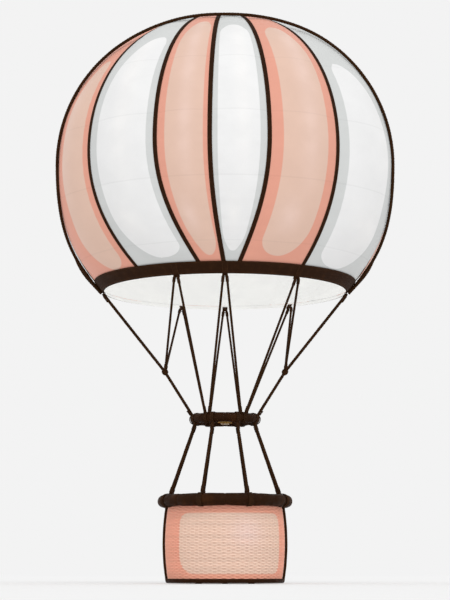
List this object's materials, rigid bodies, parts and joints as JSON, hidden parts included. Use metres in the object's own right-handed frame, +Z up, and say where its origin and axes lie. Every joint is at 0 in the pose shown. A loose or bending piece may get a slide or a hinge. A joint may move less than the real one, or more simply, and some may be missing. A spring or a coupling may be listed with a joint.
{
  "type": "hot air balloon",
  "caption": "Hot air balloon: round gored envelope with a mouth band, rope rigging, a padded load ring with a gimballed burner, and a round woven tub basket.",
  "frame": {"origin": "centre of the envelope on its upright axis, where the air holds the balloon up", "axes": "+Z up along the envelope's axis, -Y towards the viewer of the picture, +X to the right"},
  "size_m": [6.0374, 6.0023, 9.9995],
  "materials": {
    "salmon_fabric": "coated nylon",
    "white_fabric": "coated nylon",
    "webbing": "woven webbing",
    "rope": "laid rope",
    "leather": "waxed hide",
    "wicker": "woven cane, stained",
    "plywood": "varnished",
    "hardwood": "oiled",
    "steel": "heat tinted",
    "brass": "machined",
    "aluminium": "brushed"
  },
  "bodies": {
    "balloon": {"gore_01": "white_fabric", "gore_02": "salmon_fabric", "gore_03": "white_fabric", "gore_04": "salmon_fabric", "gore_05": "white_fabric", "gore_06": "salmon_fabric", "gore_07": "white_fabric", "gore_08": "salmon_fabric", "gore_09": "white_fabric", "gore_10": "salmon_fabric", "gore_11": "white_fabric", "gore_12": "salmon_fabric", "gore_13": "white_fabric", "gore_14": "salmon_fabric", "load_tapes": "webbing", "crown_lines": "webbing", "mouth_band": "webbing", "load_ring": "leather", "basket_rim": "leather", "base_hoop": "leather", "basket_wall": "wicker", "basket_floor": "plywood", "tank_left": "aluminium", "tank_right": "aluminium", "tank_strap_left": "webbing", "tank_strap_right": "webbing", "runner_1": "hardwood", "runner_2": "hardwood", "runner_3": "hardwood", "main_rope_left": "rope", "main_rope_right": "rope", "branch_front_left": "rope", "branch_front_right": "rope", "branch_back_left": "rope", "branch_back_right": "rope", "bridle_front_left_outer": "rope", "bridle_front_left_inner": "rope", "bridle_front_right_outer": "rope", "bridle_front_right_inner": "rope", "bridle_back_left_outer": "rope", "bridle_back_left_inner": "rope", "bridle_back_right_outer": "rope", "bridle_back_right_inner": "rope", "car_line_1": "rope", "car_line_2": "rope", "car_line_3": "rope", "car_line_4": "rope", "car_line_5": "rope", "car_line_6": "rope", "car_line_7": "rope", "car_line_8": "rope"},
    "vent_panel": {"vent_panel": "salmon_fabric"},
    "gimbal": {"gimbal_frame": "steel"},
    "burner": {"burner_block": "brass", "burner_coil": "steel"}
  },
  "joints": [
    {"name": "vent_slide", "type": "slide", "parent": "balloon", "child": "vent_panel", "axis": [0, 0, -1], "range_m": [0, 0.35], "stiffness_N_per_m": 120, "springref_m": -0.5},
    {"name": "gimbal_tilt", "type": "hinge", "parent": "balloon", "child": "gimbal", "pos_m": [0, 0, -4.357], "axis": [1, 0, 0], "range_deg": [-12, 12]},
    {"name": "burner_tilt", "type": "hinge", "parent": "gimbal", "child": "burner", "pos_m": [0, 0, -4.357], "axis": [0, 1, 0], "range_deg": [-12, 12]}
  ]
}
